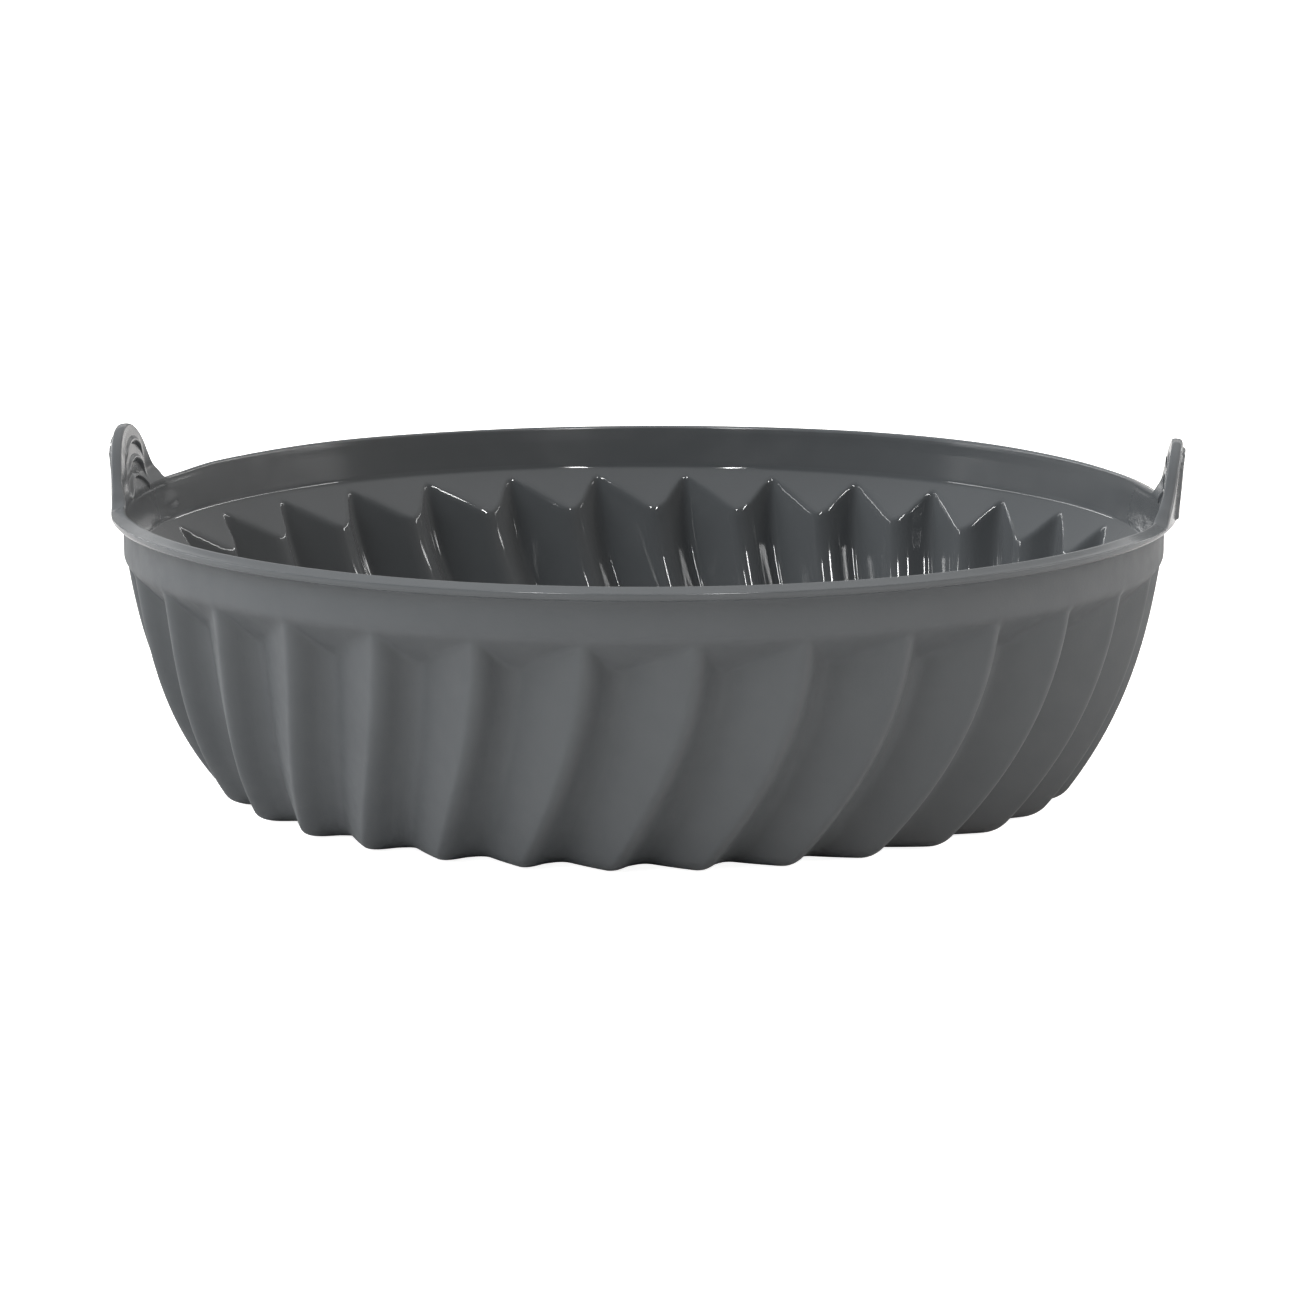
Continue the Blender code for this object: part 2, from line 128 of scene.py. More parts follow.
# Floor ribs
RIB_COUNT = 16
RIB_HEIGHT = 1.1 * MM
RIB_HALF_WIDTH = 1.9 * MM
RIB_OUTER = 63.5 * MM
RIB_INNER = 18.0 * MM
RIB_SWIRL = math.radians(-55.0)
RIB_CURL = 1.5
RIB_SWIRL_LIMIT = 1.2  # the ribs' line curls no further than this share of their length
RIB_END = 4.0 * MM
FLOOR_RIBBED = (63.0 * MM, 17.0 * MM)  # radii between which the floor's rows lie close together
FLOOR_MIDDLE = (12.0 * MM, 6.0 * MM, 1.0 * MM)
UNDERSIDE_RADII = (1.0 * MM, 30.0 * MM, FLOOR_SEAM)

# Ears
EAR_HEIGHT = 13.25 * MM
EAR_TOP_RADIUS = 14.5 * MM
EAR_FLANK = math.radians(53.0)  # of the straight flank above the rim's plane
EAR_FILLET = 14.0 * MM
EAR_THICKNESS = 2.2 * MM
EAR_ROUND_OUTSIDE = 1.2 * MM
EAR_ROUND_INSIDE = 0.5 * MM
EAR_SQUARENESS = 2.7  # power of the rounding over the ear's edge
EAR_LEAN = math.radians(4.4)
EAR_MIDDLE = BEAD_RADIUS - EAR_THICKNESS / 2
EAR_FOOT = 100.615 * MM
EAR_ANGLES = {"right": math.radians(-5.9), "left": math.radians(174.1)}
EAR_REACH = 42.0 * MM  # half the length of rim that belongs to an ear's piece
EAR_DENSE = 18.0 * MM
EAR_LOW = -1.5 * MM  # where the ear's faces start, below the top of the rim
EAR_RAMP = 4.8 * MM  # height in which the inner face runs out from the band's to the ear's
EAR_MERGE = 2.5 * MM  # height of outline in which the lip's section turns into the ear's
EAR_LEAN_TOP = 2.0 * MM  # the ear has its whole lean from this height
LIP_DIP = 0.4 * MM  # the lip hangs a little beside the ears
LIP_DIP_START = (6.0 * MM, 20.0 * MM)  # along the rim from the middle of an ear
LIP_DIP_END = (26.0 * MM, EAR_REACH)
LIP_DIP_HEIGHTS = (-1.8 * MM, -0.4 * MM)
PAD_LIFT = 0.6 * MM
GROOVE_DEPTH = 0.4 * MM
GROOVE_WIDTH = 0.8 * MM

# Inner arches: centre, apex, half span, slope's lift, slope's run, bead's lift
INNER_ARCHES = [
    (-0.4 * MM, 9.4 * MM, 8.5 * MM, 0.35 * MM, 2.6 * MM, 0.25 * MM),
    (-3.9 * MM, 5.9 * MM, 9.0 * MM, 0.4 * MM, 3.0 * MM, 0.3 * MM),
    (-7.5 * MM, 2.3 * MM, 9.5 * MM, 0.0, 1.0 * MM, 0.6 * MM),
]
ARCH_BEAD = 1.1 * MM  # width of the bead along an inner arch
ARCH_BEAD_POWER = 0.75
ARCH_FALL = 0.35 * MM
ARCH_FADE = 0.6  # share of the half span where an arch starts to fade out
ARCH_RISE = 1.5 * MM  # height in which the arches come out of the ear's foot
ARCH_SHIFT = 1.2 * MM  # the arches sit a little towards the back
PAD_CENTRE = -0.4 * MM
PAD_APEX = 11.7 * MM
PAD_HALF_WIDTH = 8.0 * MM
PAD_BOTTOM = -1.1 * MM
PAD_EDGE = 0.2 * MM
PAD_GROOVES = (3.4 * MM, 7.0 * MM)  # below the pad's arched top

# Swellings of the band's inner face beside the ears
BUMP_ALONG = 19.7 * MM
BUMP_HEIGHT = 50.0 * MM
BUMP_HALF_LENGTH = 4.5 * MM
BUMP_RISE = 2.2 * MM
BUMP_LIFT = 0.2 * MM

# Lip: (radius, height) points in millimetres, from the outer foot over the top to the inner foot
LIP_FOOT = [(100.85, 52.75), (101.45, 52.78), (101.95, 52.95), (102.18, 53.2)]
LIP_SIDE = [(102.29, 53.5), (102.3, 53.9)]
LIP_TOP = [
    (102.3, 54.03),
    (102.26, 54.18),
    (102.16, 54.28),
    (102.0, 54.34),
    (101.6, 54.46),
    (101.1, 54.66),
    (100.6, 54.88),
    (100.3, 55.02),
    (100.05, 55.1),
    (99.8, 55.06),
    (99.58, 54.9),
    (99.47, 54.6),
]
LIP_TOP_STEPS = 2
LIP_INSIDE = [(99.47, 54.6), (99.19, 53.3)]
LIP_INNER_FOOT = (98.98, 52.3)
INNER_SIDE_RADIUS = 100.0 * MM  # the lip has the inside's colour, darkened as painted shade, within this radius
INNER_SIDE_HEIGHT = BODY_HEIGHT  # and below this height
BACK_LIFT_SOFTNESS = 6  # degrees either side over which the lift is evened out
BACK_LIFT_START = (16, 28)  # degrees
BACK_LIFT_END = (152, 140)
# The soft lip is not quite level at the back: (angle in degrees, lift in millimetres)
BACK_LIFT = [
    (18, 0.0),
    (30, 0.2),
    (45, 0.55),
    (58, 0.5),
    (75, 0.22),
    (90, 0.0),
    (115, 0.0),
    (130, 0.24),
    (145, 0.0),
    (150, 0.0),
]

# Silicone
GREY = (0.076, 0.082, 0.087)
INSIDE_PAINTED_SHADE = 0.8  # painted shade: the inside's grey is darkened, because less light reaches the inside of the bowl
BAND_PAINTED_SHADE = 0.92  # painted shade: the band's inner face is darkened further, to this share of the inside's colour
CLOUDING = 0.03  # the colour varies by this share
SILICONE_IOR = 1.42
NOISE_RANGE = (0.3, 0.7)  # where the noise textures' values lie
# Noise textures: scale, detail
CLOUDS = (60.0, 3.0)
PATCHES = (220.0, 2.0)
GRAIN = (2600.0, 1.0)
WAVES = (110.0, 1.0)
# Finishes: roughness, its variation, depth of the grain, depth of the waviness
FROSTED = (0.58, 0.05, 0.00002, 0.00003)
POLISHED = (0.065, 0.015, 0.000001, 0.00003)
SATIN = (0.2, 0.03, 0.000001, 0.00001)

# Stage
STAGE_SIZE = 8.0
STAGE_DROP = 0.00005  # the stage lies just under the mould
STAGE_WHITE = (0.7, 0.7, 0.7, 1.0)
STAGE_ROUGHNESS = 0.9
STAGE_SPECULAR = 0.1
STAGE_GLOW = 0.92

# Light. Azimuth 0 is the camera's side and 90 is its right, and angles are in degrees.
WHITE = (1.0, 1.0, 1.0, 1.0)
WARM = (1.0, 0.935, 0.88)
ROOM_FRONT = 0.06  # strengths of the room in front, behind and above
ROOM_BACK = 0.4
ROOM_ABOVE = 0.7
ROOM_BACK_BLEND = (-0.4, 0.35)  # part of the direction along +Y
ROOM_ABOVE_BLEND = (0.55, 0.9)  # part of the direction along +Z
KEY_LEFT = (-50, 35, 2.45)  # azimuth, elevation, strength
SIDE_LEFT = (-110, 35, 2.85)
KEY_RIGHT = (90, 32, 3.05)
SUN_SPREAD = 50
LAMP_DISTANCE = 2.0
STRIP_AZIMUTHS = (-24, 18)
STRIP_ELEVATION = 37
STRIP_SIZE = (0.1, 0.7)
STRIP_POWER = 15
LINE_AZIMUTHS = {"left": -112, "right": 112}
LINE_ELEVATION = 17
LINE_SIZE = (2.4, 0.1)
LINE_POWER = 10
LIP_LAMPS = ((-90, 32, 4), (0, 38, 6), (90, 32, 4), (180, 24, 2.5))  # azimuth, elevation, power
LIP_LAMP_SIZE = (2.6, 0.4)

# Camera
CAMERA_PLACE = (0.0, -0.8699, 0.1903)
CAMERA_AIM = (0.0, 0.0, 0.0298)
CAMERA_LENS = 126.54
CAMERA_SENSOR = 36.0
CAMERA_SHIFT = (0.0032, -0.01686)

# Fineness
FLUTE_COLUMNS = ((-0.10, 0.14, 8), (0.14, 0.44, 8), (0.44, 0.90, 5))  # shares and steps between
OUTSIDE_ROWS = 26
CORNER_ROWS = 12
INNER_CORNER_ROWS = 10
INSIDE_LOW_ROWS = 24
INSIDE_HIGH_ROWS = 30
FLOOR_COLUMNS = 512
FLOOR_RIB_ROWS = 56
RIM_STEPS = 384
BAND_STEPS = 4
BAND_INNER_ROWS = 13
LIP_OUTER_ROWS = 4
LIP_INNER_ROWS = 8
EAR_OUTER_ROWS = 60
EAR_INNER_ROWS = 96
EAR_COARSE_COLUMNS = 33
EAR_DENSE_COLUMNS = 145
SHARP_ANGLE = math.radians(50)


def smooth_max(a, b, softness):
    share = np.maximum(softness - np.abs(a - b), 0.0) / softness
    return np.maximum(a, b) + share * share * softness / 4


def smooth_min(a, b, softness):
    return -smooth_max(-a, -b, softness)


def smooth_step(low, high, value):
    t = np.clip((value - low) / (high - low), 0.0, 1.0)
    return t * t * (3 - 2 * t)


def add_piece(name, mesh, materials):
    obj = bpy.data.objects.new(name, mesh)
    for material in materials:
        mesh.materials.append(material)
    mesh.shade_smooth()
    mesh.set_sharp_from_angle(angle=SHARP_ANGLE)
    bpy.context.scene.collection.objects.link(obj)
    return obj


def closed_rows(name, rows, second_from):
    """A closed ring of quads through rows of points, the last row joined to the first.

    The rows from second_from on have the second material.
    """
    count, columns = rows.shape[:2]
    index = np.arange(count * columns).reshape(count, columns)
    below = np.roll(index, -1, axis=0)
    right = np.roll(index, -1, axis=1)
    across = np.roll(below, -1, axis=1)
    faces = np.stack([index, below, across, right], axis=-1).reshape(-1, 4)
    mesh = bpy.data.meshes.new(name)
    mesh.from_pydata(rows.reshape(-1, 3).tolist(), [], faces.tolist())
    slots = np.zeros((count, columns), np.int32)
    slots[second_from:] = 1
    mesh.polygons.foreach_set("material_index", slots.ravel())
    mesh.update()
    return mesh


def outward(mesh):
    """Turns all faces of a closed mesh outwards."""
    build = bmesh.new()
    build.from_mesh(mesh)
    bmesh.ops.recalc_face_normals(build, faces=build.faces[:])
    build.to_mesh(mesh)
    build.free()
    return mesh


# Fluted wall


def sawtooth_sum(share, steep):
    """Area under the sawtooth of the flutes, from a crest to this share of the pitch."""
    whole = np.floor(share)
    part = share - whole
    rising = part**2 / (2 * steep)
    falling = steep / 2 + ((1 - steep) ** 2 - (1 - part) ** 2) / (2 * (1 - steep))
    return whole / 2 + np.where(part < steep, rising, falling)


def rounded_sawtooth(share, steep, window):
    """The sawtooth averaged over a window either side, which rounds its corners."""
    return (sawtooth_sum(share + window, steep) - sawtooth_sum(share - window, steep)) / (2 * window)


def flute_section(share, side, drop):
    """Depth below the crest line, from 0 to 1, at this share of the pitch."""
    steep = side["steep"]
    place = share - side["phase"]
    crest = side["crest_round"] + (side["crest_round_base"] - side["crest_round"]) * drop
    valley = side["valley_round"] + (side["valley_round_base"] - side["valley_round"]) * drop
    near_valley = rounded_sawtooth(place, steep, VALLEY_WINDOW)
    window = crest + (valley - crest) * smooth_step(*VALLEY_BLEND, near_valley)
    top = rounded_sawtooth(0.0, steep, crest)
    bottom = rounded_sawtooth(steep, steep, valley)
    return (rounded_sawtooth(place, steep, window) - top) / (bottom - top)


def drop_below_shoulder(height):
    return np.clip(1 - height / SHOULDER_HEIGHT, 0.0, 1.0)


def flute_radius(height, share, side):
    drop = drop_below_shoulder(height)
    crest = RIM_RADIUS - CREST_INSET - side["inset"]
    crest = crest - WALL_TAPER * drop - WALL_TUCK * drop**WALL_TUCK_BEND
    depth = side["depth_top"] + (side["depth_base"] - side["depth_top"]) * drop
    return crest - depth * flute_section(share, side, drop)


def outer_radius(height, share):
    cone = smooth_min(RIM_RADIUS + 0 * height, RIM_RADIUS - SHOULDER_HEIGHT + height, SHOULDER_EDGE)
    return smooth_max(cone, flute_radius(height, share, OUTSIDE), CREASE_SOFTNESS)


def band_inner_radius(height):
    return BAND_INSIDE + BAND_DRAFT * (height - BAND_SEAM)


def inner_radius(height, share):
    cone = smooth_min(band_inner_radius(height), BAND_INSIDE - LEDGE_HEIGHT + height, LEDGE_EDGE)
    return smooth_max(cone, flute_radius(height, share, INSIDE), HOLLOW_EDGE)


def flute_shares():
    """Columns of one flute, closer together where the section bends."""
    parts = [np.linspace(start, end, steps + 1)[:-1] for start, end, steps in FLUTE_COLUMNS]
    return np.concatenate(parts)


def turned_point(radius, height, share_angle):
    angle = FLUTE_START + share_angle * PITCH + FLUTE_TWIST * drop_below_shoulder(height) ** 2
    return np.stack([radius * np.cos(angle), radius * np.sin(angle), height + 0 * angle], axis=-1)


def bent_rows(start, corner, finish, count):
    """Rows along a quadratic curve through (radius, height) arrays."""
    rows = []
    for t in np.linspace(0, 1, count + 1)[1:]:
        weights = ((1 - t) ** 2, 2 * t * (1 - t), t * t)
        radius = sum(w * p[0] for w, p in zip(weights, (start, corner, finish)))
        height = sum(w * p[1] for w, p in zip(weights, (start, corner, finish)))
        rows.append((radius, height))
    return rows


def wall_rows(share, steps, start, finish, side):
    """Rows of the wall at these parts of the way between two sets of heights."""
    surface = outer_radius if side is OUTSIDE else inner_radius
    rows = []
    for t in steps:
        height = start + (finish - start) * t
        rows.append((surface(height, share), height))
    return rows


def bowl_wall(matt, gloss):
    shares = flute_shares()
    column = (np.arange(FLUTE_COUNT)[:, None] + shares[None, :]).ravel()
    share = np.tile(shares, FLUTE_COUNT)
    ones = np.ones_like(column)
    seam = BAND_SEAM * ones
    dense = DENSE_HEIGHT * ones
    steps = np.linspace(0, 1, OUTSIDE_ROWS)
    rows = [(outer_radius(seam, share), seam)]
    rows += wall_rows(share, steps, OUTSIDE_TOP * ones, dense, OUTSIDE)
    valley = flute_section(share, OUTSIDE, ones)
    corner_top = CREST_CORNER_HEIGHT + (VALLEY_CORNER_HEIGHT - CREST_CORNER_HEIGHT) * valley
    corner_run = CREST_CORNER_RUN + (VALLEY_CORNER_RUN - CREST_CORNER_RUN) * valley
    rows += wall_rows(share, steps[1:], dense, corner_top, OUTSIDE)
    foot = flute_radius(0 * ones, share, OUTSIDE)
    rows += bent_rows(rows[-1], (foot, 0 * ones), (foot - corner_run, 0 * ones), CORNER_ROWS)
    rows.append((FLOOR_SEAM * ones, 0 * ones))
    inner_from = len(rows)
    foot = flute_radius(FLOOR_TOP * ones, share, INSIDE)
    rows.append((FLOOR_SEAM * ones, FLOOR_TOP * ones))
    top = (inner_radius(INNER_CORNER_HEIGHT * ones, share), INNER_CORNER_HEIGHT * ones)
    slant = inner_radius(FLOOR_TOP * ones, share)
    toe = (np.maximum(foot - INNER_CORNER_RUN, FLOOR_SEAM + TOE_MARGIN), FLOOR_TOP * ones)
    rows.append(toe)
    rows += bent_rows(toe, (slant, FLOOR_TOP * ones), top, INNER_CORNER_ROWS)
    low = INNER_CORNER_HEIGHT * ones
    rows += wall_rows(share, np.linspace(0, 1, INSIDE_LOW_ROWS)[1:], low, dense, INSIDE)
    rows += wall_rows(share, np.linspace(0, 1, INSIDE_HIGH_ROWS)[1:], dense, INSIDE_TOP * ones, INSIDE)
    rows.append((inner_radius(seam, share), seam))
    points = np.stack([turned_point(radius, height, column) for radius, height in rows])
    mesh = outward(closed_rows("bowl_wall", points, inner_from))
    return add_piece("bowl_wall", mesh, [matt, gloss])


# Floor


def rib_height(radius, angle):
    """Height of the floor's swirl ribs at polar points."""
    inwards = np.clip((RIB_OUTER - radius) / (RIB_OUTER - RIB_INNER), 0.0, RIB_SWIRL_LIMIT)
    line = FLUTE_START + FLUTE_TWIST + RIB_SWIRL * inwards**RIB_CURL
    step = 2 * math.pi / RIB_COUNT
    away = (angle - line + step / 2) % step - step / 2
    steepness = RIB_SWIRL * RIB_CURL * inwards ** (RIB_CURL - 1) / (RIB_OUTER - RIB_INNER)
    distance = np.abs(away) * radius / np.sqrt(1 + (radius * steepness) ** 2)
    across = np.clip(distance / RIB_HALF_WIDTH, 0.0, 1.0)
    profile = (1 - across**2) ** 2
    ends = smooth_step(RIB_INNER, RIB_INNER + RIB_END, radius)
    ends = ends * (1 - smooth_step(RIB_OUTER - RIB_END, RIB_OUTER, radius))
    return RIB_HEIGHT * profile * ends


def bowl_floor(gloss, matt):
    columns = FLOOR_COLUMNS
    angle = np.linspace(0, 2 * math.pi, columns, endpoint=False)
    radii = np.concatenate([[FLOOR_SEAM], np.linspace(*FLOOR_RIBBED, FLOOR_RIB_ROWS), FLOOR_MIDDLE])
    rows = []
    for radius in radii:
        height = FLOOR_TOP + rib_height(radius, angle)
        rows.append(np.stack([radius * np.cos(angle), radius * np.sin(angle), height], axis=-1))
    for radius in UNDERSIDE_RADII:
        rows.append(np.stack([radius * np.cos(angle), radius * np.sin(angle), 0 * angle], axis=-1))
    points = np.stack(rows)
    mesh = closed_rows("bowl_floor", points, len(radii))
    # The hole left at the middle is closed by its own small discs.
    build = bmesh.new()
    build.from_mesh(mesh)
    build.verts.ensure_lookup_table()
    last_top = len(radii) - 1
    tube = []
    for face in build.faces:
        lows = {v.index // columns for v in face.verts}
        if lows == {last_top, last_top + 1}:
            tube.append(face)
    bmesh.ops.delete(build, geom=tube, context="FACES_ONLY")
    build.verts.ensure_lookup_table()
    for row in (last_top, last_top + 1):
        ring = [build.verts[row * columns + i] for i in range(columns)]
        build.faces.new(ring).material_index = 0 if row == last_top else 1
    bmesh.ops.recalc_face_normals(build, faces=build.faces[:])
    build.to_mesh(mesh)
    build.free()
    return add_piece("bowl_floor", mesh, [gloss, matt])


# Rim


def swept(name, points, materials):
    """A closed bar from rows of points, wrapped across the rows and capped at both ends."""
    rows, columns = points.shape[:2]
    index = np.arange(rows * columns).reshape(rows, columns)
    below = np.roll(index, -1, axis=0)
    faces = np.stack([index[:, :-1], below[:, :-1], below[:, 1:], index[:, 1:]], axis=-1)
    faces = faces.reshape(-1, 4).tolist()
    faces.append(index[:, 0].tolist())
    faces.append(index[::-1, -1].tolist())
    mesh = bpy.data.meshes.new(name)
    mesh.from_pydata(points.reshape(-1, 3).tolist(), [], faces)
    mesh.update()
    outward(mesh)
    colour_inner_side(mesh)
    return add_piece(name, mesh, materials)


def colour_inner_side(mesh):
    """The inner side of the lip and of the ears' feet takes the second material."""
    centres = np.empty(3 * len(mesh.polygons))
    mesh.polygons.foreach_get("center", centres)
    centres = centres.reshape(-1, 3)
    inside = np.hypot(centres[:, 0], centres[:, 1]) < INNER_SIDE_RADIUS
    inside &= centres[:, 2] < INNER_SIDE_HEIGHT
    mesh.polygons.foreach_set("material_index", inside.astype(np.int32))


def ring_points(radius, height, angle):
    return np.stack([radius * np.cos(angle), radius * np.sin(angle), height + 0 * angle], axis=-1)


def curve_through(points, steps):
    """A smooth curve through (radius, height) points in millimetres, as rows in metres."""
    points = np.array(points, float) * MM
    ends = np.vstack([2 * points[0] - points[1], points, 2 * points[-1] - points[-2]])
    result = []
    for i in range(1, len(ends) - 2):
        a, b, c, d = ends[i - 1 : i + 3]
        for t in np.arange(steps) / steps:
            cubic = (3 * b - a - 3 * c + d) * t**3
            square = (2 * a - 5 * b + 4 * c - d) * t**2
            result.append(0.5 * (2 * b + (c - a) * t + square + cubic))
    result.append(points[-1])
    return np.array(result)


def resampled(points, count):
    """A polyline with this many points, evenly spaced along it."""
    steps = np.hypot(*np.diff(points, axis=0).T)
    along = np.concatenate([[0.0], np.cumsum(steps)])
    places = np.linspace(0.0, along[-1], count)
    return np.stack([np.interp(places, along, points[:, i]) for i in (0, 1)], axis=-1)


def root_bump(height, angle):
    """A shallow swelling of the band's inner face beside each foot of the ears."""
    lift = np.zeros_like(angle + height)
    for ear_angle in EAR_ANGLES.values():
        for side in (-1, 1):
            place = ear_angle + side * BUMP_ALONG / EAR_MIDDLE
            turn = (angle - place + math.pi) % (2 * math.pi) - math.pi
            away = np.hypot(turn * EAR_MIDDLE / BUMP_HALF_LENGTH, (height - BUMP_HEIGHT) / BUMP_RISE)
            lift = np.maximum(lift, BUMP_LIFT * (1 - smooth_step(0.0, 1.0, away)))
    return lift


def rim_band(matt, satin):
    """The smooth band under the lip, with a narrow flare at its top."""
    angle = np.linspace(0, 2 * math.pi, 2 * RIM_STEPS, endpoint=False)
    rows = [ring_points(r, z, angle) for r, z in curve_through(BAND_OUTSIDE, BAND_STEPS)]
    inner_from = len(rows)
    for height in np.linspace(LIP_INNER_FOOT[1] * MM, BAND_SEAM, BAND_INNER_ROWS):
        rows.append(ring_points(band_inner_radius(height) - root_bump(height, angle), height, angle))
    mesh = outward(closed_rows("rim_band_smooth", np.stack(rows), inner_from))
    return add_piece("rim_band_smooth", mesh, [matt, satin])


def lip_section(outer_rows, inner_rows):
    """Section of the lip: foot, outer side, crisp outer edge, sloping top, inner edge, inner side."""
    foot = np.array(LIP_FOOT) * MM
    outer = resampled(np.array(LIP_SIDE) * MM, outer_rows)
    top = curve_through(LIP_TOP, LIP_TOP_STEPS)
    inner = resampled(np.array(LIP_INSIDE) * MM, inner_rows + 1)[1:]
    base = np.array([LIP_INNER_FOOT]) * MM
    return np.vstack([foot, outer, top, inner, base])


def back_lift(angle):
    """How far the top of the lip is lifted at these angles."""
    places, lifts = np.array(BACK_LIFT).T
    degrees = np.degrees(angle)
    shifts = np.linspace(-BACK_LIFT_SOFTNESS, BACK_LIFT_SOFTNESS, 2 * BACK_LIFT_SOFTNESS + 1)
    near = [np.interp(degrees + shift, places, lifts) for shift in shifts]
    ends = smooth_step(*BACK_LIFT_START, degrees) * smooth_step(*BACK_LIFT_END, degrees)
    return np.mean(near, axis=0) * MM * ends


def lip_arc(name, start, end, materials):
    """The lip between the two ears' pieces, on one side of the bowl."""
    angle = np.linspace(start, end, RIM_STEPS // 2)
    rows = []
    for radius, height in lip_section(LIP_OUTER_ROWS, LIP_INNER_ROWS):
        lift = back_lift(angle) * smooth_step(LIP_FOOT[0][1] * MM, LIP_SIDE[1][1] * MM, height)
        rows.append(ring_points(radius, height + lift, angle))
    obj = swept(name, np.stack(rows), materials)
    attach(obj, "mould")
    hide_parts("rim_bead")
    return obj


# Ears


def ear_outline(along):
    """Height of the ear's outline above the rim, and the cosine of its slope."""
    side = np.abs(along)
    sine = math.sin(EAR_FLANK)
    cosine = math.cos(EAR_FLANK)
    centre = EAR_HEIGHT - EAR_TOP_RADIUS
    top_width = EAR_TOP_RADIUS * sine
    flank_top = centre + EAR_TOP_RADIUS * cosine
    flank_foot = EAR_FILLET * (1 - cosine)
    foot_width = top_width + (flank_top - flank_foot) * cosine / sine
    root_width = foot_width + EAR_FILLET * sine
    dome = centre + np.sqrt(np.maximum(EAR_TOP_RADIUS**2 - side**2, 0.0))
    flank = flank_top - (side - top_width) * sine / cosine
    outwards = np.clip(root_width - side, 0.0, EAR_FILLET)
    fillet = EAR_FILLET - np.sqrt(EAR_FILLET**2 - outwards**2)
    height = np.where(side < top_width, dome, np.where(side < foot_width, flank, fillet))
    slope = np.where(side < foot_width, sine, outwards / EAR_FILLET)
    slope = np.where(side < top_width, side / EAR_TOP_RADIUS, slope)
    return height, np.sqrt(1 - slope**2)


def ear_point(along, radius, height, angle, share=1.0):
    """World points of an ear that leans outwards, or of the level rim where the share is 0."""
    turn = along / EAR_MIDDLE
    out = radius * np.cos(turn) - EAR_FOOT
    radial = EAR_FOOT + out * math.cos(EAR_LEAN) + height * math.sin(EAR_LEAN)
    up = height * math.cos(EAR_LEAN) - out * math.sin(EAR_LEAN)
    radial = radial * share + radius * np.cos(turn) * (1 - share)
    up = BODY_HEIGHT + up * share + height * (1 - share)
    side = radius * np.sin(turn)
    x = radial * math.cos(angle) - side * math.sin(angle)
    y = radial * math.sin(angle) + side * math.cos(angle)
    return np.stack([x, y, up], axis=-1)


def bump_profile(distance, centre, half_width):
    """A rounded ridge across the distance, 1 at its centre."""
    across = np.clip((distance - centre) / half_width, -1.0, 1.0)
    return (1 - across**2) ** ARCH_BEAD_POWER


def inner_relief(along, height):
    """Three arches, each a raised bead with a sharp fall below it and some with a slope above."""
    relief = np.zeros_like(along)
    for centre, apex, half_span, slope_lift, slope_run, bead_lift in INNER_ARCHES:
        ring = np.hypot(along, height - centre) - (apex - centre)
        slope = slope_lift * np.clip(1 - ring / slope_run, 0.0, 1.0)
        bead = bead_lift * bump_profile(ring, ARCH_BEAD / 2, ARCH_BEAD / 2)
        below = smooth_step(-ARCH_FALL, 0.0, ring)
        ends = 1 - smooth_step(half_span * ARCH_FADE, half_span, np.abs(along))
        relief = np.maximum(relief, (slope + bead) * below * ends)
    return relief * smooth_step(EAR_LOW, EAR_LOW + ARCH_RISE, height)


def outer_relief(along, height):
    """A raised pad with an arched top, cut across by arched grooves."""
    ring = np.hypot(along, height - PAD_CENTRE) - (PAD_APEX - PAD_CENTRE)
    shape = 1 - smooth_step(-PAD_EDGE, PAD_EDGE, ring)
    shape = shape * (1 - smooth_step(PAD_HALF_WIDTH - PAD_EDGE, PAD_HALF_WIDTH + PAD_EDGE, np.abs(along)))
    shape = shape * smooth_step(PAD_BOTTOM - PAD_EDGE, PAD_BOTTOM + PAD_EDGE, height)
    grooves = np.zeros_like(along)
    for drop in PAD_GROOVES:
        across = 1 - np.clip(np.abs(ring + drop) / (GROOVE_WIDTH / 2), 0.0, 1.0)
        grooves = np.maximum(grooves, smooth_step(0.0, 1.0, across))
    return shape * (PAD_LIFT - GROOVE_DEPTH * grooves)


def ear_columns():
    coarse = np.linspace(-EAR_REACH, -EAR_DENSE, EAR_COARSE_COLUMNS)[:-1]
    dense = np.linspace(-EAR_DENSE, EAR_DENSE, EAR_DENSE_COLUMNS)
    return np.concatenate([coarse, dense, -coarse[::-1]])


def ear_inner_radius(height):
    """Radius of an ear's inner face, which rises from the inner foot of the lip."""
    foot = LIP_INSIDE[1][0] * MM
    ramp = smooth_step(EAR_LOW, EAR_LOW + EAR_RAMP, height)
    return foot + (BEAD_RADIUS - EAR_THICKNESS - foot) * ramp


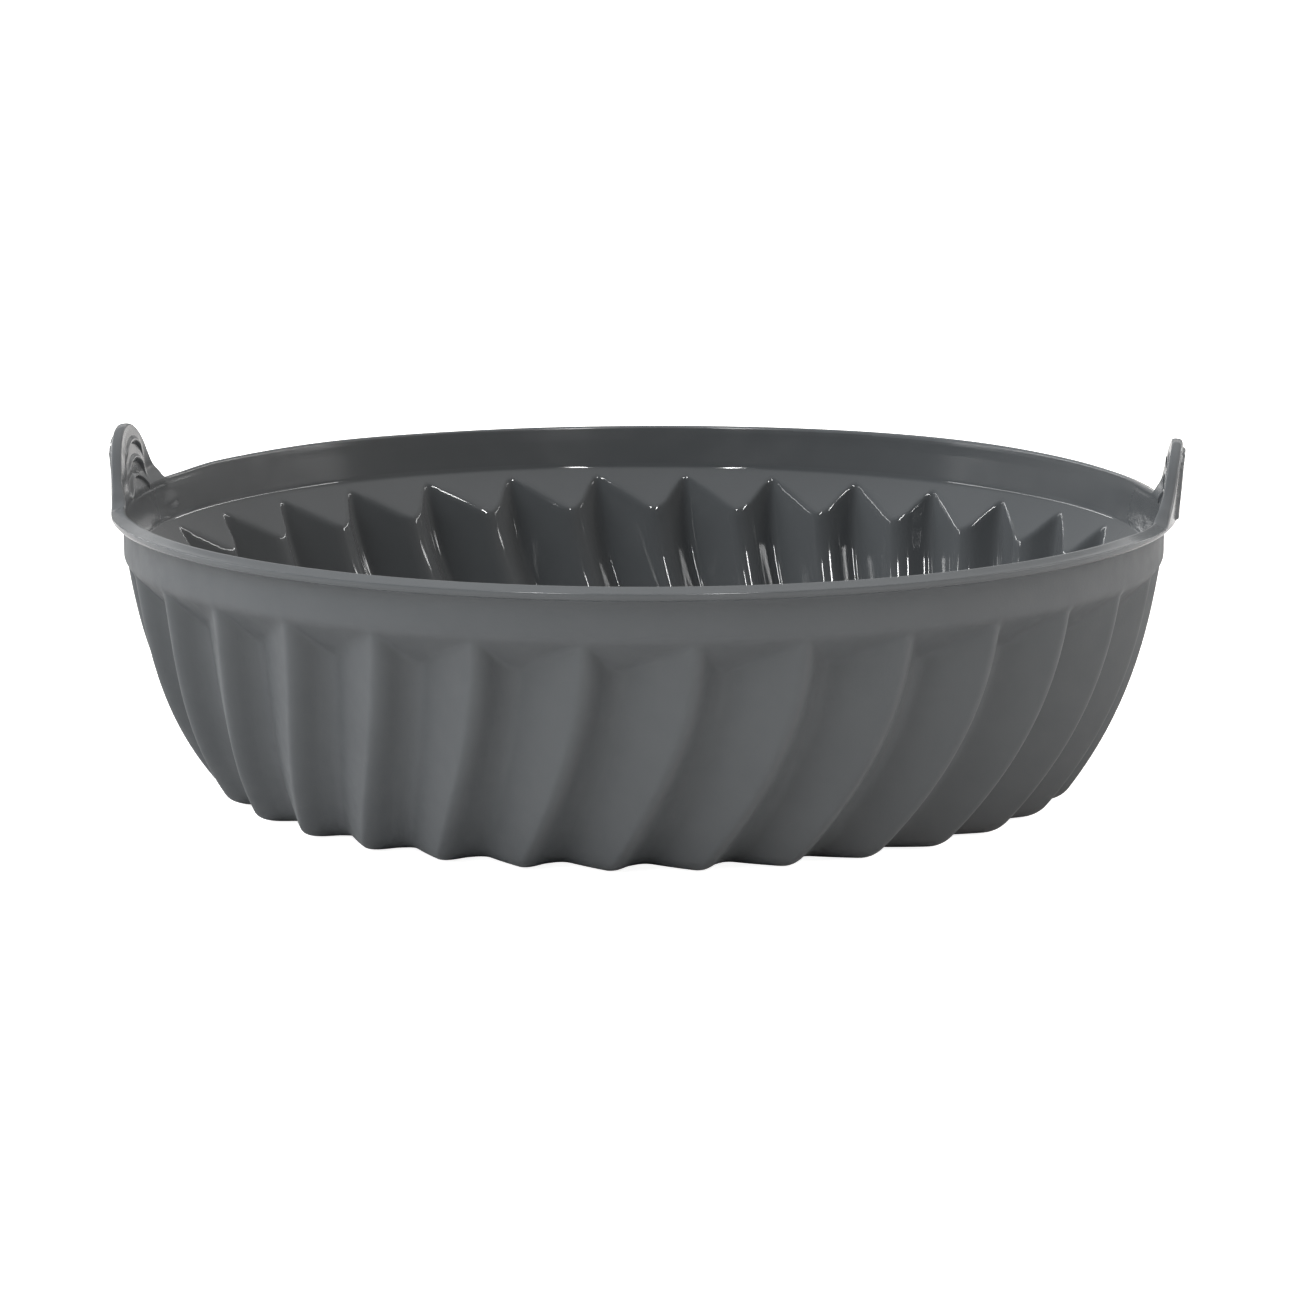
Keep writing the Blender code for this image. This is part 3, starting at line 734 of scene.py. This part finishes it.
def ear_section(top, cosine, crown_rows):
    """Radius and height of the ear's rows, up its outer face, over its edge and down inside."""
    outer_top = np.maximum(top - EAR_ROUND_OUTSIDE / cosine, EAR_LOW)
    inner_top = np.maximum(top - EAR_ROUND_INSIDE / cosine, EAR_LOW)
    rise = np.linspace(0.0, 1.0, EAR_OUTER_ROWS)[:, None]
    outer_height = EAR_LOW + (outer_top - EAR_LOW) * rise
    fall = np.linspace(0.0, 1.0, EAR_INNER_ROWS)[:, None]
    inner_height = inner_top + (EAR_LOW - inner_top) * fall
    sweep = np.linspace(0.0, math.pi, crown_rows)[:, None]
    power = 2 / EAR_SQUARENESS
    across = np.sign(np.cos(sweep)) * np.abs(np.cos(sweep)) ** power
    over = np.sin(sweep) ** power
    inside = ear_inner_radius(inner_top)
    crown_radius = (BEAD_RADIUS + inside) / 2 + (BEAD_RADIUS - inside) / 2 * across
    face_top = np.where(across > 0, outer_top, inner_top)
    crown_height = face_top + (top - face_top) * over
    radius = [BEAD_RADIUS + 0 * outer_height, crown_radius, ear_inner_radius(inner_height)]
    return np.vstack(radius), np.vstack([outer_height, crown_height, inner_height])


def ear_grip(side, materials):
    """An ear and the stretch of lip that it grows out of, as one swept piece."""
    angle = EAR_ANGLES[side]
    mirror = -1 if side == "left" else 1
    along = ear_columns()
    outline, cosine = ear_outline(along)
    away = np.abs(along)
    dip = smooth_step(*LIP_DIP_START, away) - smooth_step(*LIP_DIP_END, away)
    top = outline - LIP_DIP * dip
    merge = smooth_step(0.0, EAR_MERGE, outline)
    lip = lip_section(EAR_OUTER_ROWS, EAR_INNER_ROWS)
    lip_radius = lip[:, 0][:, None] + 0 * along
    lip_height = lip[:, 1][:, None] - BODY_HEIGHT + 0 * along
    lip_height = lip_height - LIP_DIP * dip * smooth_step(*LIP_DIP_HEIGHTS, lip_height)
    outer = slice(len(LIP_FOOT), len(LIP_FOOT) + EAR_OUTER_ROWS)
    inner = slice(len(lip) - 1 - EAR_INNER_ROWS, len(lip) - 1)
    ear = slice(outer.start, inner.stop)
    radius = lip_radius.copy()
    height = lip_height.copy()
    radius[ear], height[ear] = ear_section(top, cosine, inner.start - outer.stop)
    radius = lip_radius + (radius - lip_radius) * merge
    height = lip_height + (height - lip_height) * merge
    places = along + 0 * height
    radius[outer] += outer_relief(places[outer], height[outer])
    shifted = places[inner] - mirror * ARCH_SHIFT
    radius[inner] -= inner_relief(shifted, height[inner]) * merge
    lean = merge * smooth_step(EAR_LOW, EAR_LEAN_TOP, height)
    points = ear_point(places, radius, height, angle, lean)
    obj = swept(f"{side}_ear_grip", points, materials)
    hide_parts(f"{side}_ear_root", f"{side}_ear_tab")
    for face in ("inner", "outer"):
        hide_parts(*[f"{side}_{face}_rib_{i}" for i in (1, 2, 3)])
    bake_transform(obj)
    return obj


# Materials


def new_material(name):
    material = bpy.data.materials.new(name)
    material.use_nodes = True
    nodes = material.node_tree.nodes
    return material, nodes, material.node_tree.links, nodes["Principled BSDF"]


def noise(nodes, links, coordinates, scale, detail):
    texture = nodes.new("ShaderNodeTexNoise")
    texture.inputs["Scale"].default_value = scale
    texture.inputs["Detail"].default_value = detail
    links.new(coordinates.outputs["Object"], texture.inputs["Vector"])
    return texture


def bump(nodes, links, source, depth):
    node = nodes.new("ShaderNodeBump")
    node.inputs["Strength"].default_value = 1.0
    node.inputs["Distance"].default_value = depth
    links.new(source.outputs["Fac"], node.inputs["Height"])
    return node


def shaded(colour, factor):
    return tuple(factor * value for value in colour)


def ramp(nodes, links, source, stops):
    """A colour ramp from a texture's factor. stops are (place, colour)."""
    node = nodes.new("ShaderNodeValToRGB")
    elements = node.color_ramp.elements
    for element, (place, colour) in zip(elements, stops):
        element.position = place
        element.color = (*colour, 1.0)
    links.new(source.outputs["Fac"], node.inputs["Fac"])
    return node


def silicone(name, colour, finish):
    """Moulded silicone: faint clouding, a fine grain and a slow waviness of the surface."""
    roughness, variation, grain, wave = finish
    low, high = NOISE_RANGE
    material, nodes, links, shader = new_material(name)
    coordinates = nodes.new("ShaderNodeTexCoord")
    cloud = noise(nodes, links, coordinates, *CLOUDS)
    dark = shaded(colour, 1 - CLOUDING)
    light = shaded(colour, 1 + CLOUDING)
    tint = ramp(nodes, links, cloud, [(low, dark), (high, light)])
    links.new(tint.outputs["Color"], shader.inputs["Base Color"])
    patch = noise(nodes, links, coordinates, *PATCHES)
    gloss = nodes.new("ShaderNodeMapRange")
    gloss.inputs["From Min"].default_value = low
    gloss.inputs["From Max"].default_value = high
    gloss.inputs["To Min"].default_value = roughness - variation
    gloss.inputs["To Max"].default_value = roughness + variation
    links.new(patch.outputs["Fac"], gloss.inputs["Value"])
    links.new(gloss.outputs["Result"], shader.inputs["Roughness"])
    shader.inputs["IOR"].default_value = SILICONE_IOR
    fine = noise(nodes, links, coordinates, *GRAIN)
    slow = noise(nodes, links, coordinates, *WAVES)
    waviness = bump(nodes, links, slow, wave)
    graininess = bump(nodes, links, fine, grain)
    links.new(waviness.outputs["Normal"], graininess.inputs["Normal"])
    links.new(graininess.outputs["Normal"], shader.inputs["Normal"])
    return material


def frosted_outside():
    return silicone("silicone_outside", GREY, FROSTED)


def polished_inside_painted_shade():
    # The polished finish, with its grey darkened as painted shade for the dim inside of the bowl.
    return silicone("silicone_inside_painted_shade", shaded(GREY, INSIDE_PAINTED_SHADE), POLISHED)


def satin_band_painted_shade():
    # The satin finish, with the inside's grey darkened further as painted shade on the band's inner face
    # and the lip's inner side.
    return silicone("silicone_band_inside_painted_shade", shaded(shaded(GREY, INSIDE_PAINTED_SHADE), BAND_PAINTED_SHADE), SATIN)


def satin_rim():
    return silicone("silicone_rim", GREY, SATIN)


def stage_material():
    material, _, _, shader = new_material("floor_paper")
    shader.inputs["Base Color"].default_value = STAGE_WHITE
    shader.inputs["Roughness"].default_value = STAGE_ROUGHNESS
    shader.inputs["Specular IOR Level"].default_value = STAGE_SPECULAR
    shader.inputs["Emission Color"].default_value = WHITE
    shader.inputs["Emission Strength"].default_value = STAGE_GLOW
    return material


# Stage, light and camera


def floor():
    """A white floor. Its glow lights only itself, so that it stays white under the mould."""
    mesh = bpy.data.meshes.new("floor")
    size = STAGE_SIZE
    corners = [(-size, -size), (size, -size), (size, size), (-size, size)]
    mesh.from_pydata([(x, y, -STAGE_DROP) for x, y in corners], [], [(0, 1, 2, 3)])
    mesh.materials.append(stage_material())
    obj = bpy.data.objects.new("floor", mesh)
    bpy.context.scene.collection.objects.link(obj)
    lit = bpy.data.collections.new("lit_by_the_floor")
    lit.objects.link(obj)
    obj.light_linking.receiver_collection = lit


def direction(azimuth, elevation):
    """Unit vector from the mould towards a lamp."""
    a = math.radians(azimuth)
    e = math.radians(elevation)
    return Vector((math.sin(a) * math.cos(e), -math.cos(a) * math.cos(e), math.sin(e)))


def add_light(name, data, place):
    """A lamp at this place that looks at the mould."""
    obj = bpy.data.objects.new(name, data)
    obj.location = place
    obj.rotation_euler = (-place).to_track_quat("-Z", "Y").to_euler()
    bpy.context.scene.collection.objects.link(obj)
    return obj


def area_light(name, azimuth, elevation, size, power):
    """A soft box that shows in reflections alone."""
    data = bpy.data.lights.new(name, "AREA")
    data.shape = "RECTANGLE"
    data.size, data.size_y = size
    data.energy = power
    lamp = add_light(name, data, direction(azimuth, elevation) * LAMP_DISTANCE)
    lamp.visible_diffuse = False
    return lamp


def sun_light(name, azimuth, elevation, strength):
    """A far soft light that shows in no reflection."""
    data = bpy.data.lights.new(name, "SUN")
    data.angle = math.radians(SUN_SPREAD)
    data.energy = strength
    sun = add_light(name, data, direction(azimuth, elevation))
    sun.visible_glossy = False
    return sun


def blend_along(nodes, links, source, low, high, end):
    """A smooth change of strength between two values of a part of the direction."""
    shade = nodes.new("ShaderNodeMapRange")
    shade.interpolation_type = "SMOOTHSTEP"
    shade.inputs["From Min"].default_value = low
    shade.inputs["From Max"].default_value = high
    shade.inputs["To Max"].default_value = end
    links.new(source, shade.inputs["Value"])
    return shade


def studio_world():
    """A white room: dim on the camera's side, brighter beside and behind the bowl, and above it."""
    world = bpy.data.worlds.new("studio")
    world.use_nodes = True
    nodes = world.node_tree.nodes
    links = world.node_tree.links
    coordinates = nodes.new("ShaderNodeTexCoord")
    split = nodes.new("ShaderNodeSeparateXYZ")
    links.new(coordinates.outputs["Generated"], split.inputs["Vector"])
    around = blend_along(nodes, links, split.outputs["Y"], *ROOM_BACK_BLEND, ROOM_BACK)
    around.inputs["To Min"].default_value = ROOM_FRONT
    whole = blend_along(nodes, links, split.outputs["Z"], *ROOM_ABOVE_BLEND, ROOM_ABOVE)
    links.new(around.outputs["Result"], whole.inputs["To Min"])
    background = nodes["Background"]
    background.inputs["Color"].default_value = WHITE
    links.new(whole.outputs["Result"], background.inputs["Strength"])
    bpy.context.scene.world = world


def lights():
    """The room, three suns, and lamps for the streaks in the flutes and the line along the ledge."""
    studio_world()
    sun_light("key_left", *KEY_LEFT)
    sun_light("side_left", *SIDE_LEFT)
    right = sun_light("key_right", *KEY_RIGHT)
    right.data.color = WARM
    for i, azimuth in enumerate(STRIP_AZIMUTHS):
        area_light(f"strip_{i + 1}", azimuth, STRIP_ELEVATION, STRIP_SIZE, STRIP_POWER)
    for name, azimuth in LINE_AZIMUTHS.items():
        area_light(f"line_{name}", azimuth, LINE_ELEVATION, LINE_SIZE, LINE_POWER)


def lip_lamps(lips):
    """Wide lamps all round for the lines along the lip's and the ears' edges, linked to these alone."""
    lit = bpy.data.collections.new("lit_by_the_lip_lamps")
    for obj in lips:
        lit.objects.link(obj)
    for azimuth, elevation, power in LIP_LAMPS:
        lamp = area_light(f"lip_lamp_{azimuth}", azimuth, elevation, LIP_LAMP_SIZE, power)
        lamp.light_linking.receiver_collection = lit


def camera():
    data = bpy.data.cameras.new("camera")
    data.sensor_width = CAMERA_SENSOR
    data.lens = CAMERA_LENS
    data.shift_x, data.shift_y = CAMERA_SHIFT
    obj = bpy.data.objects.new("camera", data)
    obj.location = CAMERA_PLACE
    towards = Vector(CAMERA_AIM) - obj.location
    obj.rotation_euler = towards.to_track_quat("-Z", "Y").to_euler()
    bpy.context.scene.collection.objects.link(obj)
    bpy.context.scene.camera = obj
    bpy.context.scene.view_settings.view_transform = "Standard"


def build():
    camera()
    lights()
    floor()
    matt = frosted_outside()
    gloss = polished_inside_painted_shade()
    band_gloss_painted_shade = satin_band_painted_shade()
    satin = satin_rim()
    wall = bowl_wall(matt, gloss)
    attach(wall, "mould")
    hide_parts("fluted_wall", "corner_ring")
    base = bowl_floor(gloss, matt)
    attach(base, "mould")
    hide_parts("base_panel")
    band = rim_band(matt, band_gloss_painted_shade)
    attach(band, "mould")
    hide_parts("rim_band")
    reach = EAR_REACH / EAR_MIDDLE
    left, right = EAR_ANGLES["left"], EAR_ANGLES["right"]
    finishes = [satin, band_gloss_painted_shade]
    lips = [
        lip_arc("rim_lip_front", left + reach, right + 2 * math.pi - reach, finishes),
        lip_arc("rim_lip_back", right + reach, left - reach, finishes),
        ear_grip("left", finishes),
        ear_grip("right", finishes),
    ]
    lip_lamps(lips)


build()
